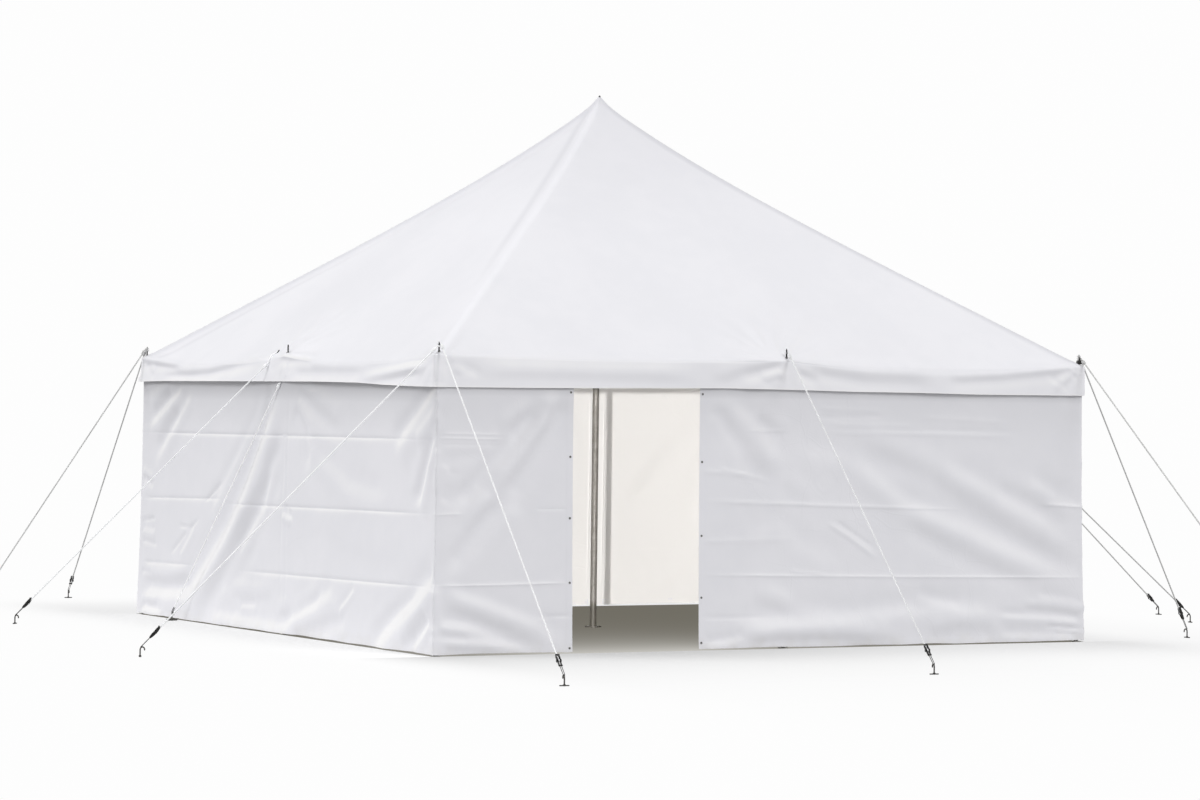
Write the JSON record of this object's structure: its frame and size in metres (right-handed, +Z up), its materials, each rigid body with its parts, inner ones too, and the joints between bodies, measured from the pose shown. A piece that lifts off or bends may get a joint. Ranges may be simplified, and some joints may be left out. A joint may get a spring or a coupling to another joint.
{
  "type": "square pole marquee tent",
  "caption": "Square pole marquee in white PVC sheet: hollow pyramid roof with valance, hung walls with an open doorway, centre and side poles, guy ropes with ratchets and ground pegs.",
  "frame": {"origin": "on the ground under the centre pole, in the middle of the plan", "axes": "+Z up, front wall with the doorway facing -Y, +X to the right seen from the front"},
  "size_m": [9.544, 9.854, 3.872],
  "materials": {
    "pvc_sheet": "white PVC-coated cloth, soft sheen, creased from folding",
    "side_pole_steel": "dull grey-brown painted tube with a bare dark spike",
    "centre_pole": "dull grey-brown tube",
    "guy_rope": "twisted white polypropylene rope",
    "anchor_steel": "dark steel peg and ratchet, scuffed"
  },
  "bodies": {
    "root": {"roof_front": "pvc_sheet", "roof_right": "pvc_sheet", "roof_back": "pvc_sheet", "roof_left": "pvc_sheet", "peak_cap": "pvc_sheet", "valance_front": "pvc_sheet", "valance_right": "pvc_sheet", "valance_back": "pvc_sheet", "valance_left": "pvc_sheet", "wall_front_left": "pvc_sheet", "wall_front_right": "pvc_sheet", "wall_right": "pvc_sheet", "wall_back": "pvc_sheet", "wall_left": "pvc_sheet", "side_pole_near": "side_pole_steel", "side_pole_right": "side_pole_steel", "side_pole_rear": "side_pole_steel", "side_pole_left": "side_pole_steel", "side_pole_front_middle": "side_pole_steel", "side_pole_right_middle": "side_pole_steel", "side_pole_back_middle": "side_pole_steel", "side_pole_left_middle": "side_pole_steel", "centre_pole": "centre_pole", "guy_rope_near_left": "guy_rope", "guy_rope_near_front": "guy_rope", "guy_rope_front_middle": "guy_rope", "guy_rope_right_front": "guy_rope", "guy_rope_right_side": "guy_rope", "guy_rope_right_middle_a": "guy_rope", "guy_rope_right_middle_b": "guy_rope", "guy_rope_rear_side": "guy_rope", "guy_rope_rear_back": "guy_rope", "guy_rope_back_middle": "guy_rope", "guy_rope_left_back": "guy_rope", "guy_rope_left_side": "guy_rope", "guy_rope_left_middle": "guy_rope", "guy_rope_left_wall_stay": "guy_rope", "anchor_near_left": "anchor_steel", "anchor_near_front": "anchor_steel", "anchor_front_middle": "anchor_steel", "anchor_right_front": "anchor_steel", "anchor_right_side": "anchor_steel", "anchor_right_middle_a": "anchor_steel", "anchor_right_middle_b": "anchor_steel", "anchor_rear_side": "anchor_steel", "anchor_rear_back": "anchor_steel", "anchor_back_middle": "anchor_steel", "anchor_left_back": "anchor_steel", "anchor_left_side": "anchor_steel", "anchor_left_middle": "anchor_steel", "anchor_left_wall_stay": "anchor_steel"}
  },
  "joints": []
}
